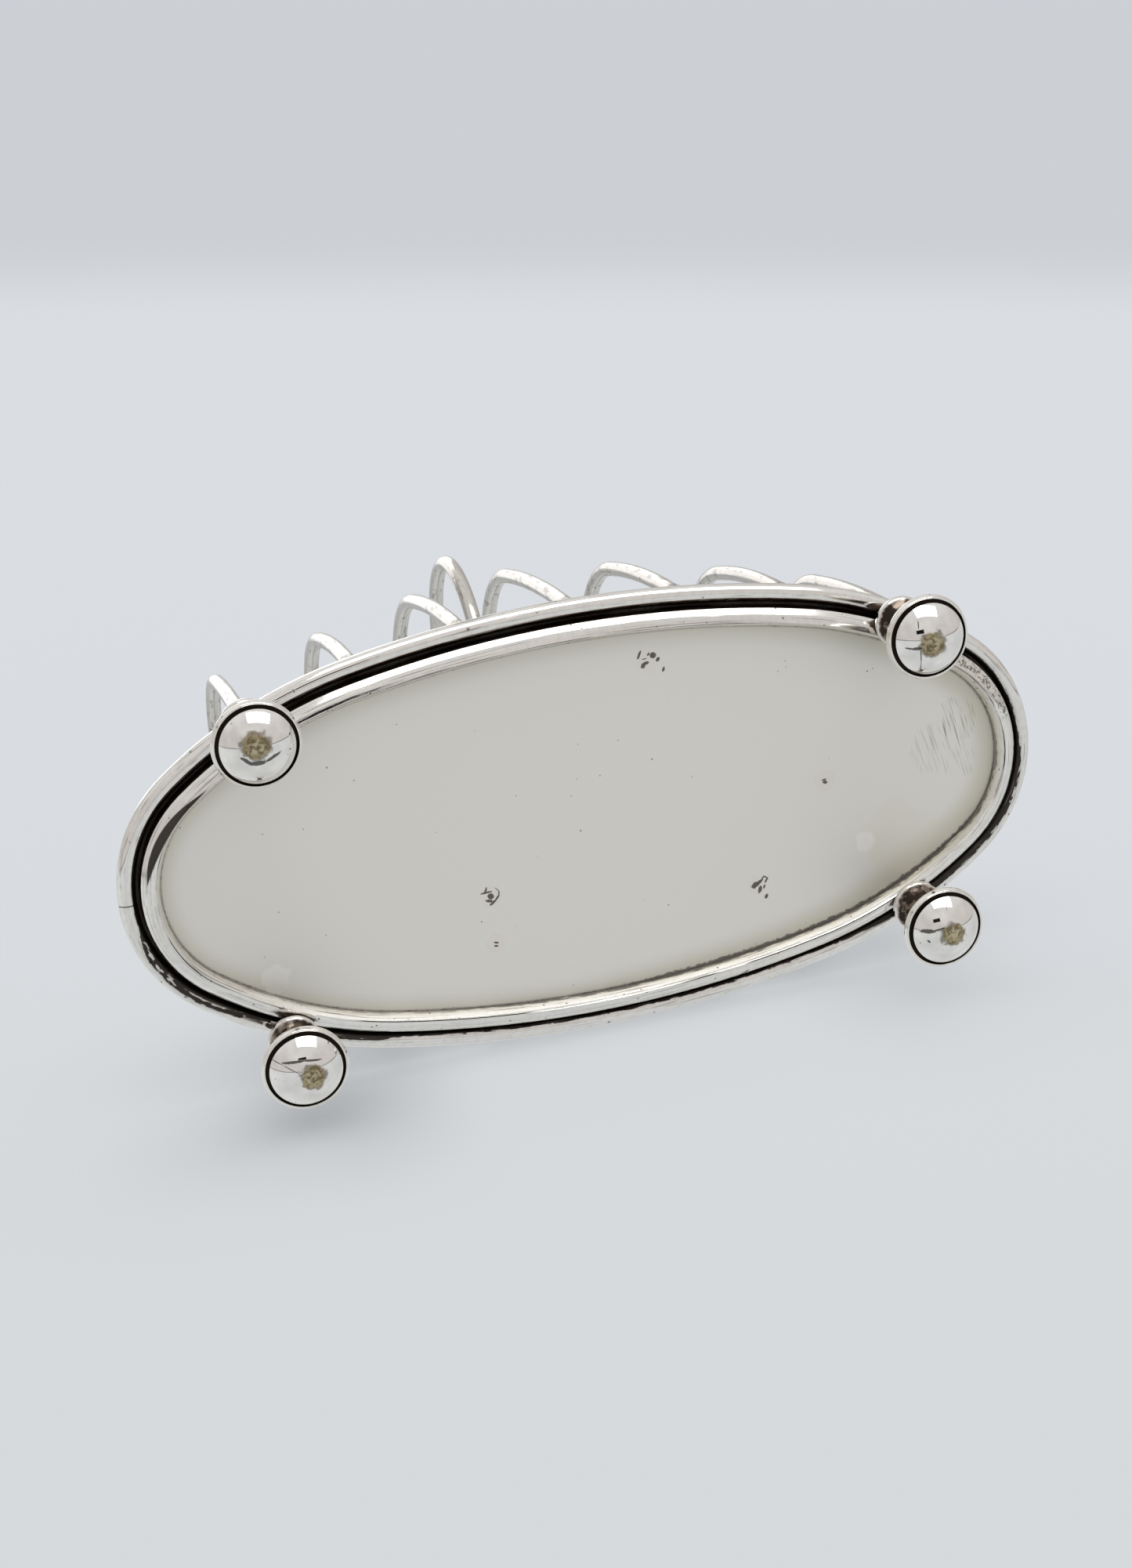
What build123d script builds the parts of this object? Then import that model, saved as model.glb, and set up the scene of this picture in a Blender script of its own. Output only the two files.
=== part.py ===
from build123d import *
import os
from math import atan2, cos, degrees, hypot, radians, sin, sqrt

# Seven-hoop oval toast rack, soldered from drawn wire, a flat sheet and turned feet.
# Frame: the rack stands upright on its four feet. +Z is up, X runs along the oval and
# Y across it. The origin is on the resting plane, under the middle of the oval.
# All lengths are in millimetres.

# ---- Driving dimensions -------------------------------------------------------------

# Outer ring: centre line of the wire, seen from above
RING_HALF_LENGTH = 83.35
RING_HALF_WIDTH = 38.8
RING_SHOULDER_RADIUS = 78.0
RING_END_TURN = 52.5
RING_SIDE_TURN = 78.5
RING_WIRE_RADIUS = 1.65
RING_Z = 21.25

# Joint in the outer ring, where the two ends of the wire meet
SEAM_DEPTH = 0.25
SEAM_WIDTH = 0.18
SEAM_ANGLE = 0.0

# Rim moulding, as distances inwards from the ring's centre line
RIM_OUTER_INSET = 2.3
RIM_RIDGE_INSET = 4.7
RIM_INNER_INSET = 5.7
RIM_OUTER_Z = 18.8
RIM_RIDGE_Z = 17.3
RIM_TOP_Z = 21.9
RIM_TOP_RADIUS = 0.6

# Panel
PANEL_INSET = 4.9
PANEL_Z = 20.0
PANEL_THICKNESS = 1.0

# Hoops
HOOP_PITCH = 19.7
HOOP_WIRE_RADIUS = 1.42
HOOP_RISE = {0: 77.5, 1: 72.1, 2: 62.5, 3: 61.1}
HOOP_CROWN_RATIO = 0.9

# Ring handle
HANDLE_RADIUS = 25.0
HANDLE_WIRE_RADIUS = 1.6
HANDLE_SEAT = 0.7

# Feet: places of the four feet, which stand under the end hoops
FOOT_X = 3 * HOOP_PITCH
FOOT_Y_NEAR = 29.2
FOOT_Y_FAR = 27.4
FOOT_SPOTS = {
    "front_left": (-FOOT_X, -FOOT_Y_FAR),
    "back_left": (-FOOT_X, FOOT_Y_FAR),
    "front_right": (FOOT_X, -FOOT_Y_NEAR),
    "back_right": (FOOT_X, FOOT_Y_NEAR),
}

# Foot dome, a pressed cap with a small worn flat at its apex
DOME_EDGE_RADIUS = 6.35
DOME_EDGE_Z = 3.2
DOME_FLAT_RADIUS = 1.6
DOME_WALL = 0.9
DOME_SKIRT_Z = 4.3

# Foot cup, the back half of the button, with its bright rim
GROOVE_RADIUS = 6.95
RIM_BEAD_Z = 3.6
BUTTON_RADIUS = 7.62
BUTTON_Z = 4.5
CUP_WALL = 0.8
CUP_BACK_Z = 8.4
CUP_BACK_RADIUS = 3.5

# Foot stem, turned in one piece: spigot, waist, collar and seat
SPIGOT_RADIUS = 2.0
WAIST_RADIUS = 2.7
WAIST_Z = 10.6
COLLAR_RADIUS = 4.75
COLLAR_Z = 16.0
COLLAR_THICKNESS = 1.1
SEAT_RADIUS = 4.1
SEAT_TOP_RADIUS = 2.3
SEAT_TOP_Z = 20.5


# ---- The oval -----------------------------------------------------------------------

def oval_arcs(inset):
    """Centres and radii of one quarter of the oval: end, shoulder and side arcs.

    Every oval in the rack is the same curve moved inwards by the inset, so they all
    share their centres and turn angles.
    """
    end_cos = cos(radians(RING_END_TURN))
    end_sin = sin(radians(RING_END_TURN))
    side_cos = cos(radians(RING_SIDE_TURN))
    side_sin = sin(radians(RING_SIDE_TURN))
    along = RING_HALF_LENGTH - RING_SHOULDER_RADIUS * (end_cos - side_cos)
    across = RING_HALF_WIDTH - RING_SHOULDER_RADIUS * (side_sin - end_sin)
    spread = (1 - end_cos) * (1 - side_sin) - side_cos * end_sin
    end_radius = (along * (1 - side_sin) - side_cos * across) / spread
    side_radius = ((1 - end_cos) * across - end_sin * along) / spread
    end_x = RING_HALF_LENGTH - end_radius
    shoulder_x = end_x - (RING_SHOULDER_RADIUS - end_radius) * end_cos
    shoulder_y = -(RING_SHOULDER_RADIUS - end_radius) * end_sin
    side_y = RING_HALF_WIDTH - side_radius
    return (
        (end_x, 0.0, end_radius - inset),
        (shoulder_x, shoulder_y, RING_SHOULDER_RADIUS - inset),
        (0.0, side_y, side_radius - inset),
    )


def draw_oval(inset):
    """Adds the closed oval to the line that is being built, as eight tangent arcs."""
    end, shoulder, side = oval_arcs(inset)
    shoulder_turn = RING_SIDE_TURN - RING_END_TURN
    side_turn = 180 - 2 * RING_SIDE_TURN
    for half in (1, -1):
        start = 0 if half == 1 else 180
        CenterArc((half * end[0], 0), end[2], start - RING_END_TURN, 2 * RING_END_TURN)
        CenterArc((half * shoulder[0], half * shoulder[1]), shoulder[2],
                  start + RING_END_TURN, shoulder_turn)
        CenterArc((0, half * side[1]), side[2], start + RING_SIDE_TURN, side_turn)
        CenterArc((-half * shoulder[0], half * shoulder[1]), shoulder[2],
                  start + 180 - RING_SIDE_TURN, shoulder_turn)


def oval_half_width(x, inset=0.0):
    """Y of the oval at this x, on the shoulder or the side arc."""
    end, shoulder, side = oval_arcs(inset)
    side_end_x = side[2] * cos(radians(RING_SIDE_TURN))
    centre_x, centre_y, radius = side if abs(x) < side_end_x else shoulder
    return centre_y + sqrt(radius ** 2 - (abs(x) - centre_x) ** 2)


# ---- Base ---------------------------------------------------------------------------

with BuildPart() as outer_ring:
    with BuildLine(Plane.XY.offset(RING_Z)) as ring_path:
        draw_oval(0)
    with BuildSketch(Plane.XZ):
        with Locations((RING_HALF_LENGTH, RING_Z)):
            Circle(RING_WIRE_RADIUS)
    sweep(path=ring_path.wire())
    # the line left where the two ends of the wire were soldered together
    ring_end_x, _, ring_end_radius = oval_arcs(0)[0]
    seam_centre = (
        ring_end_x + ring_end_radius * cos(radians(SEAM_ANGLE)),
        ring_end_radius * sin(radians(SEAM_ANGLE)),
        RING_Z,
    )
    seam_normal = (-sin(radians(SEAM_ANGLE)), cos(radians(SEAM_ANGLE)), 0)
    with BuildSketch(Plane(origin=seam_centre, z_dir=seam_normal)):
        Circle(RING_WIRE_RADIUS + SEAM_DEPTH)
        Circle(RING_WIRE_RADIUS - SEAM_DEPTH, mode=Mode.SUBTRACT)
    extrude(amount=SEAM_WIDTH / 2, both=True, mode=Mode.SUBTRACT)
outer_ring.part.label = "outer_ring"

with BuildPart() as base_rim:
    with BuildLine(Plane.XY.offset(RIM_TOP_Z)) as rim_path:
        draw_oval(RIM_OUTER_INSET)
    rim_outer_x = RING_HALF_LENGTH - RIM_OUTER_INSET
    rim_ridge_x = RING_HALF_LENGTH - RIM_RIDGE_INSET
    rim_inner_x = RING_HALF_LENGTH - RIM_INNER_INSET
    seat_x = RING_HALF_LENGTH - PANEL_INSET
    with BuildSketch(Plane.XZ):
        with BuildLine():
            # crowned outer band and steep inner flank meet in the ridge
            ThreePointArc(
                (rim_outer_x, RIM_OUTER_Z),
                ((rim_outer_x + rim_ridge_x) / 2 + 0.1, (RIM_OUTER_Z + RIM_RIDGE_Z) / 2 - 0.28),
                (rim_ridge_x, RIM_RIDGE_Z),
            )
            ThreePointArc(
                (rim_ridge_x, RIM_RIDGE_Z),
                ((rim_ridge_x + rim_inner_x) / 2 - 0.22, (RIM_RIDGE_Z + PANEL_Z) / 2 - 0.1),
                (rim_inner_x, PANEL_Z - 0.25),
            )
            Polyline(
                (rim_inner_x, PANEL_Z - 0.25),
                (rim_inner_x, PANEL_Z),
                (seat_x, PANEL_Z),
                (seat_x, RIM_TOP_Z - RIM_TOP_RADIUS),
            )
            ThreePointArc(
                (seat_x, RIM_TOP_Z - RIM_TOP_RADIUS),
                ((seat_x + rim_outer_x) / 2, RIM_TOP_Z),
                (rim_outer_x, RIM_TOP_Z - RIM_TOP_RADIUS),
            )
            Line((rim_outer_x, RIM_TOP_Z - RIM_TOP_RADIUS), (rim_outer_x, RIM_OUTER_Z))
        make_face()
    sweep(path=rim_path.wire())
base_rim.part.label = "base_rim"

with BuildPart() as base_panel:
    with BuildSketch(Plane.XY.offset(PANEL_Z)):
        with BuildLine():
            draw_oval(PANEL_INSET)
        make_face()
    extrude(amount=PANEL_THICKNESS)
base_panel.part.label = "base_panel"


# ---- Hoops --------------------------------------------------------------------------

def make_hoop(place):
    """One wire hoop across the rack, place pitches from the middle.

    Two long side arcs rise upright from the ring and run into a round crown. The feet
    of the hoop are cut to sit on the ring's wire.
    """
    x = place * HOOP_PITCH
    span = oval_half_width(x)
    rise = HOOP_RISE[abs(place)]
    crown = HOOP_CROWN_RATIO * span
    side = (span ** 2 + (rise - crown) ** 2 - crown ** 2) / (2 * (span - crown))
    turn = degrees(atan2(rise - crown, side - span))
    hoop_plane = Plane(origin=(x, 0, RING_Z), x_dir=(0, 1, 0), z_dir=(1, 0, 0))
    with BuildPart() as hoop:
        with BuildLine(hoop_plane) as hoop_path:
            CenterArc((span - side, 0), side, 0, turn)
            CenterArc((0, rise - crown), crown, turn, 180 - 2 * turn)
            CenterArc((side - span, 0), side, 180 - turn, turn)
        with BuildSketch(Plane.XY.offset(RING_Z)):
            with Locations((x, span)):
                Circle(HOOP_WIRE_RADIUS)
        sweep(path=hoop_path.wire())
        add(outer_ring.part, mode=Mode.SUBTRACT)
    hoop.part.label = f"hoop_{place + 4}"
    return hoop.part


hoops = [make_hoop(place) for place in range(-3, 4)]
middle_hoop = hoops[3]


# ---- Ring handle --------------------------------------------------------------------

handle_z = (RING_Z + HOOP_RISE[0] + HOOP_WIRE_RADIUS + HANDLE_WIRE_RADIUS
            - HANDLE_SEAT + HANDLE_RADIUS)

with BuildPart() as handle_ring:
    with BuildSketch(Plane.XZ):
        with Locations((0, handle_z + HANDLE_RADIUS)):
            Circle(HANDLE_WIRE_RADIUS)
    revolve(axis=Axis((0, 0, handle_z), (1, 0, 0)), revolution_arc=360)
    # the ring is filed to sit on the crown of the middle hoop
    add(middle_hoop, mode=Mode.SUBTRACT)
handle_ring.part.label = "handle_ring"


# ---- Feet ---------------------------------------------------------------------------

def foot_plane(spot):
    """Profile plane through the foot's own axis: local x is the radius, local y is Z."""
    return Plane(origin=(spot[0], spot[1], 0), x_dir=(1, 0, 0), z_dir=(0, -1, 0))


def foot_axis(spot):
    return Axis((spot[0], spot[1], 0), (0, 0, 1))


def make_dome(name, spot):
    """Pressed cap: a worn flat, a shallow dome and a short skirt inside the cup."""
    sphere = (DOME_EDGE_RADIUS ** 2 + DOME_EDGE_Z ** 2
              - DOME_FLAT_RADIUS ** 2) / (2 * DOME_EDGE_Z)
    radius = hypot(sphere, DOME_FLAT_RADIUS)
    flat_angle = degrees(atan2(-sphere, DOME_FLAT_RADIUS))
    edge_angle = degrees(atan2(DOME_EDGE_Z - sphere, DOME_EDGE_RADIUS))
    inner_radius = radius - DOME_WALL
    inner_edge = DOME_EDGE_RADIUS - DOME_WALL
    inner_edge_z = sphere - sqrt(inner_radius ** 2 - inner_edge ** 2)
    inner_edge_angle = degrees(atan2(inner_edge_z - sphere, inner_edge))
    with BuildPart() as dome:
        with BuildSketch(foot_plane(spot)):
            with BuildLine():
                Line((0, 0), (DOME_FLAT_RADIUS, 0))
                CenterArc((0, sphere), radius, flat_angle, edge_angle - flat_angle)
                Polyline(
                    (DOME_EDGE_RADIUS, DOME_EDGE_Z),
                    (DOME_EDGE_RADIUS, DOME_SKIRT_Z),
                    (inner_edge, DOME_SKIRT_Z),
                    (inner_edge, inner_edge_z),
                )
                CenterArc((0, sphere), inner_radius, inner_edge_angle, -90 - inner_edge_angle)
                Line((0, sphere - inner_radius), (0, 0))
            make_face()
        revolve(axis=foot_axis(spot))
    dome.part.label = f"foot_dome_{name}"
    return dome.part


def make_cup(name, spot):
    """Back half of the button: seat for the dome, dark groove, bright rim, hollow back."""
    back_inner_z = CUP_BACK_Z - CUP_WALL
    with BuildPart() as cup:
        with BuildSketch(foot_plane(spot)):
            with BuildLine():
                Polyline(
                    (DOME_EDGE_RADIUS, DOME_SKIRT_Z),
                    (GROOVE_RADIUS - 0.15, DOME_SKIRT_Z),
                    (GROOVE_RADIUS, RIM_BEAD_Z + 0.15),
                )
                ThreePointArc(
                    (GROOVE_RADIUS, RIM_BEAD_Z + 0.15),
                    (GROOVE_RADIUS + 0.2, RIM_BEAD_Z),
                    (GROOVE_RADIUS + 0.4, RIM_BEAD_Z + 0.2),
                )
                Line((GROOVE_RADIUS + 0.4, RIM_BEAD_Z + 0.2), (BUTTON_RADIUS - 0.1, BUTTON_Z - 0.35))
                ThreePointArc(
                    (BUTTON_RADIUS - 0.1, BUTTON_Z - 0.35),
                    (BUTTON_RADIUS, BUTTON_Z),
                    (BUTTON_RADIUS - 0.2, BUTTON_Z + 0.4),
                )
                ThreePointArc(
                    (BUTTON_RADIUS - 0.2, BUTTON_Z + 0.4),
                    (6.3, 6.7),
                    (CUP_BACK_RADIUS, CUP_BACK_Z),
                )
                Polyline(
                    (CUP_BACK_RADIUS, CUP_BACK_Z),
                    (SPIGOT_RADIUS, CUP_BACK_Z),
                    (SPIGOT_RADIUS, back_inner_z),
                    (CUP_BACK_RADIUS - 0.3, back_inner_z),
                )
                ThreePointArc(
                    (CUP_BACK_RADIUS - 0.3, back_inner_z),
                    (5.6, 6.2),
                    (DOME_EDGE_RADIUS, DOME_SKIRT_Z + 0.5),
                )
                Line((DOME_EDGE_RADIUS, DOME_SKIRT_Z + 0.5), (DOME_EDGE_RADIUS, DOME_SKIRT_Z))
            make_face()
        revolve(axis=foot_axis(spot))
    cup.part.label = f"foot_cup_{name}"
    return cup.part


def make_stem(name, spot):
    """Turned stem: spigot, waist and collar, with a tapered seat cut to fit the rim and ring."""
    spigot_z = CUP_BACK_Z - CUP_WALL
    collar_top_z = COLLAR_Z + COLLAR_THICKNESS
    with BuildPart() as stem:
        with BuildSketch(foot_plane(spot)):
            with BuildLine():
                Polyline(
                    (0, spigot_z),
                    (SPIGOT_RADIUS, spigot_z),
                    (SPIGOT_RADIUS, CUP_BACK_Z),
                    (CUP_BACK_RADIUS, CUP_BACK_Z),
                )
                Spline(
                    (CUP_BACK_RADIUS, CUP_BACK_Z),
                    (WAIST_RADIUS, WAIST_Z),
                    (COLLAR_RADIUS - 0.35, COLLAR_Z - 0.35),
                    tangents=((-0.9, 0.7), (1, 0.6)),
                )
                ThreePointArc(
                    (COLLAR_RADIUS - 0.35, COLLAR_Z - 0.35),
                    (COLLAR_RADIUS, (COLLAR_Z + collar_top_z) / 2 - 0.1),
                    (COLLAR_RADIUS - 0.35, collar_top_z),
                )
                Polyline(
                    (COLLAR_RADIUS - 0.35, collar_top_z),
                    (SEAT_RADIUS, collar_top_z),
                    (SEAT_TOP_RADIUS, SEAT_TOP_Z),
                    (0, SEAT_TOP_Z),
                    (0, spigot_z),
                )
            make_face()
        revolve(axis=foot_axis(spot))
        add(base_rim.part, mode=Mode.SUBTRACT)
        add(outer_ring.part, mode=Mode.SUBTRACT)
        add(base_panel.part, mode=Mode.SUBTRACT)
    stem.part.label = f"foot_stem_{name}"
    return stem.part


feet = []
for foot_name, foot_spot in FOOT_SPOTS.items():
    feet.append(make_dome(foot_name, foot_spot))
    feet.append(make_cup(foot_name, foot_spot))
    feet.append(make_stem(foot_name, foot_spot))


# ---- Files --------------------------------------------------------------------------

os.makedirs("parts", exist_ok=True)
for piece in [outer_ring.part, base_rim.part, base_panel.part, handle_ring.part] + hoops + feet:
    export_step(piece, f"parts/{piece.label}.step")
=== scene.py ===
import bpy
import math
from mathutils import Matrix, Vector


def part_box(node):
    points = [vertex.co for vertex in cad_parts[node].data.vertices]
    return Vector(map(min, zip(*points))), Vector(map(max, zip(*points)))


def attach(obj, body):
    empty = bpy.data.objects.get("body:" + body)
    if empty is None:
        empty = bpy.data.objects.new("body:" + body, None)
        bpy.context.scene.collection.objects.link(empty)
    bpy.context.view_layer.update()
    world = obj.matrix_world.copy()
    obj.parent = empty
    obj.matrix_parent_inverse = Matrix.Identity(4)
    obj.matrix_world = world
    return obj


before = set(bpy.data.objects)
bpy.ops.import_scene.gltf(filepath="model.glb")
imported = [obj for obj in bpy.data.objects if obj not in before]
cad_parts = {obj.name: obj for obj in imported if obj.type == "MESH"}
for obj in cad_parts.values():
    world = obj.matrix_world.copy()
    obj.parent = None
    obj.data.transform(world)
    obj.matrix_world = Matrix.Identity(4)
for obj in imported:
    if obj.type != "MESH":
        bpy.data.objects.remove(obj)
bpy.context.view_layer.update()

# ---- Sizes read from the frame ------------------------------------------------------

MM = 0.001

ring_low, ring_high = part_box("outer_ring")
RING_WIRE = (ring_high.z - ring_low.z) / 2
RING_Z = (ring_high.z + ring_low.z) / 2
RING_LENGTH = ring_high.x - RING_WIRE
RING_WIDTH = ring_high.y - RING_WIRE

_, panel_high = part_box("base_panel")
PANEL_LENGTH = panel_high.x
PANEL_WIDTH = panel_high.y

HOOPS = [f"hoop_{number}" for number in range(1, 8)]
FEET = ["front_left", "back_left", "front_right", "back_right"]


def hoop_place(name):
    """X of the hoop, its wire radius, and the Y of its legs and the Z of its crown at the wire's middle."""
    low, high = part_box(name)
    wire = (high.x - low.x) / 2
    return (low.x + high.x) / 2, wire, high.y - wire, high.z - wire


def foot_place(foot):
    """Centre of the foot's dome, seen from above."""
    low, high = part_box(f"foot_dome_{foot}")
    return (low.x + high.x) / 2, (low.y + high.y) / 2


# ---- The oval -----------------------------------------------------------------------

# The ring's centre line is made of end, shoulder and side arcs that meet at these turn angles.
SHOULDER_RADIUS = 78.0 * MM
END_TURN = math.radians(52.5)
SIDE_TURN = math.radians(78.5)


def oval_arcs():
    """Centre x, centre y and radius of the end, shoulder and side arcs of one quarter."""
    along = RING_LENGTH - SHOULDER_RADIUS * (math.cos(END_TURN) - math.cos(SIDE_TURN))
    across = RING_WIDTH - SHOULDER_RADIUS * (math.sin(SIDE_TURN) - math.sin(END_TURN))
    end_gap = 1 - math.cos(END_TURN)
    side_gap = 1 - math.sin(SIDE_TURN)
    spread = end_gap * side_gap - math.cos(SIDE_TURN) * math.sin(END_TURN)
    end_radius = (along * side_gap - math.cos(SIDE_TURN) * across) / spread
    side_radius = (end_gap * across - math.sin(END_TURN) * along) / spread
    end_x = RING_LENGTH - end_radius
    reach = SHOULDER_RADIUS - end_radius
    shoulder = (end_x - reach * math.cos(END_TURN), -reach * math.sin(END_TURN), SHOULDER_RADIUS)
    return (end_x, 0.0, end_radius), shoulder, (0.0, RING_WIDTH - side_radius, side_radius)


END_ARC, SHOULDER_ARC, SIDE_ARC = oval_arcs()


def oval_turns():
    """Turn angles round the whole oval, closer together where it bends less."""
    quarter = [END_TURN * step / 16 for step in range(16)]
    quarter += [END_TURN + (SIDE_TURN - END_TURN) * step / 14 for step in range(14)]
    quarter += [SIDE_TURN + (math.pi / 2 - SIDE_TURN) * step / 12 for step in range(12)]
    half = quarter + [math.pi / 2] + [math.pi - turn for turn in reversed(quarter[1:])]
    return half + [math.pi + turn for turn in half]


def oval_point(turn, inset):
    """The point of the oval where it faces this way, moved inwards by the inset."""
    side_x, side_y = math.copysign(1, math.cos(turn)), math.copysign(1, math.sin(turn))
    quarter = math.atan2(abs(math.sin(turn)), abs(math.cos(turn)))
    if quarter < END_TURN:
        x, y, radius = END_ARC
    elif quarter < SIDE_TURN:
        x, y, radius = SHOULDER_ARC
    else:
        x, y, radius = SIDE_ARC
    x += (radius - inset) * math.cos(quarter)
    y += (radius - inset) * math.sin(quarter)
    return Vector((side_x * x, side_y * y, 0))


def oval_turn_at(x):
    """Turn angle of the oval in its first quarter, at this distance along it."""
    side_end = SIDE_ARC[2] * math.cos(SIDE_TURN)
    centre_x, _, radius = SIDE_ARC if abs(x) < side_end else SHOULDER_ARC
    return math.acos((abs(x) - centre_x) / radius)


# ---- Shader nodes -------------------------------------------------------------------

class Nodes:
    """Short names for the nodes of a shader."""

    def __init__(self, tree):
        self.tree = tree
        self.tree.nodes.clear()

    def node(self, kind, settings=None, **sockets):
        made = self.tree.nodes.new(kind)
        for key, value in (settings or {}).items():
            setattr(made, key, value)
        for key, value in sockets.items():
            self.feed(made.inputs[key.replace("_", " ")], value)
        return made

    def feed(self, socket, value):
        if isinstance(value, bpy.types.NodeSocket):
            self.tree.links.new(value, socket)
        else:
            socket.default_value = value

    def math(self, operation, first, second=0.0, third=0.0):
        made = self.node("ShaderNodeMath", {"operation": operation})
        for socket, value in zip(made.inputs, (first, second, third)):
            self.feed(socket, value)
        return made.outputs[0]

    def vector(self, operation, first, second=None, scale=None):
        made = self.node("ShaderNodeVectorMath", {"operation": operation})
        self.feed(made.inputs[0], first)
        if second is not None:
            self.feed(made.inputs[1], second)
        if scale is not None:
            self.feed(made.inputs["Scale"], scale)
        gives_number = operation in ("DOT_PRODUCT", "LENGTH", "DISTANCE")
        return made.outputs["Value" if gives_number else "Vector"]

    def parts(self, vector):
        made = self.node("ShaderNodeSeparateXYZ", Vector=vector)
        return made.outputs[0], made.outputs[1], made.outputs[2]

    def ramp(self, value, low, high, least, most, kind="SMOOTHSTEP"):
        """From least at low to most at high."""
        made = self.node("ShaderNodeMapRange", {"interpolation_type": kind}, Value=value,
                         From_Min=low, From_Max=high, To_Min=least, To_Max=most)
        return made.outputs[0]

    def step(self, value, low, high):
        """0 below low, 1 above high, smooth between. It falls instead where low is above high."""
        if low > high:
            return self.ramp(value, high, low, 1.0, 0.0)
        return self.ramp(value, low, high, 0.0, 1.0)

    def blend(self, mask, below, above, kind="RGBA"):
        """Below where the mask is 0, above where it is 1. The kind is RGBA or FLOAT."""
        made = self.node("ShaderNodeMix", {"data_type": kind})
        first = 6 if kind == "RGBA" else 2
        self.feed(made.inputs[0], mask)
        self.feed(made.inputs[first], below)
        self.feed(made.inputs[first + 1], above)
        return made.outputs[2 if kind == "RGBA" else 0]

    def mix_shaders(self, mask, below, above):
        made = self.node("ShaderNodeMixShader")
        for socket, value in zip(made.inputs, (mask, below, above)):
            self.feed(socket, value)
        return made.outputs[0]


class Surface(Nodes):
    """The nodes of a material, with the place and the direction of its surface."""

    def __init__(self, name):
        self.material = bpy.data.materials.new(name)
        self.material.use_nodes = True
        super().__init__(self.material.node_tree)
        self.place = self.node("ShaderNodeTexCoord").outputs["Object"]
        self.place_mm = self.vector("SCALE", self.place, scale=1 / MM)
        geometry = self.node("ShaderNodeNewGeometry")
        self.normal = geometry.outputs["Normal"]
        self.back = geometry.outputs["Backfacing"]

    def show(self, shader):
        self.node("ShaderNodeOutputMaterial", Surface=shader)
        return self.material

    def noise(self, scale, detail=3.0, where=None, distortion=0.0):
        """Noise with this many features a millimetre, or to each unit of where."""
        made = self.node("ShaderNodeTexNoise", Vector=where or self.place,
                         Scale=scale if where else scale / MM, Detail=detail, Distortion=distortion)
        return made.outputs[0]

    def specks(self, scale, size, share):
        """Small round specks in some of the cells of a grid with this many cells a millimetre."""
        cells = self.node("ShaderNodeTexVoronoi", Vector=self.place, Scale=scale / MM)
        draw = self.node("ShaderNodeSeparateColor", Color=cells.outputs["Color"]).outputs[0]
        chosen = self.math("LESS_THAN", draw, share)
        return self.math("MULTIPLY", self.step(cells.outputs["Distance"], size, size * 0.5), chosen)

    def strokes(self, centre, lines, wobble=0.7):
        """Ragged strokes on a level surface. A line is its two ends, from the centre, and its half width,
        all in mm.
        """
        nearest = 9.0
        for from_x, from_y, to_x, to_y, width in lines:
            start, end = Vector((from_x, from_y, 0)), Vector((to_x, to_y, 0))
            middle = (start + end) / 2 + Vector((*centre, 0)) / MM
            half_length = (end - start).length / 2 + width * 1.3
            along = (end - start).normalized() / half_length
            across = Vector((-along.y, along.x, 0)) * half_length / (width * 1.6)
            reach = [self.math("SUBTRACT", self.vector("DOT_PRODUCT", self.place_mm, axis), middle.dot(axis))
                     for axis in (along, across)]
            share = self.math("MULTIPLY_ADD", reach[0], reach[0], self.math("MULTIPLY", reach[1], reach[1]))
            nearest = self.math("MINIMUM", share, nearest)
        ragged = self.math("MULTIPLY_ADD", self.noise(2.2, 2.0), wobble, self.math("SQRT", nearest))
        return self.step(ragged, 1.15 + wobble / 2, 0.80 + wobble / 2)


def colour(red, green, blue):
    return (red, green, blue, 1.0)


SILVER = colour(0.90, 0.885, 0.855)
SILVER_WARM = colour(0.80, 0.755, 0.67)
TARNISH = colour(0.022, 0.016, 0.012)
TARNISH_BROWN = colour(0.11, 0.05, 0.025)
TARNISH_GREY = colour(0.30, 0.275, 0.25)


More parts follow.
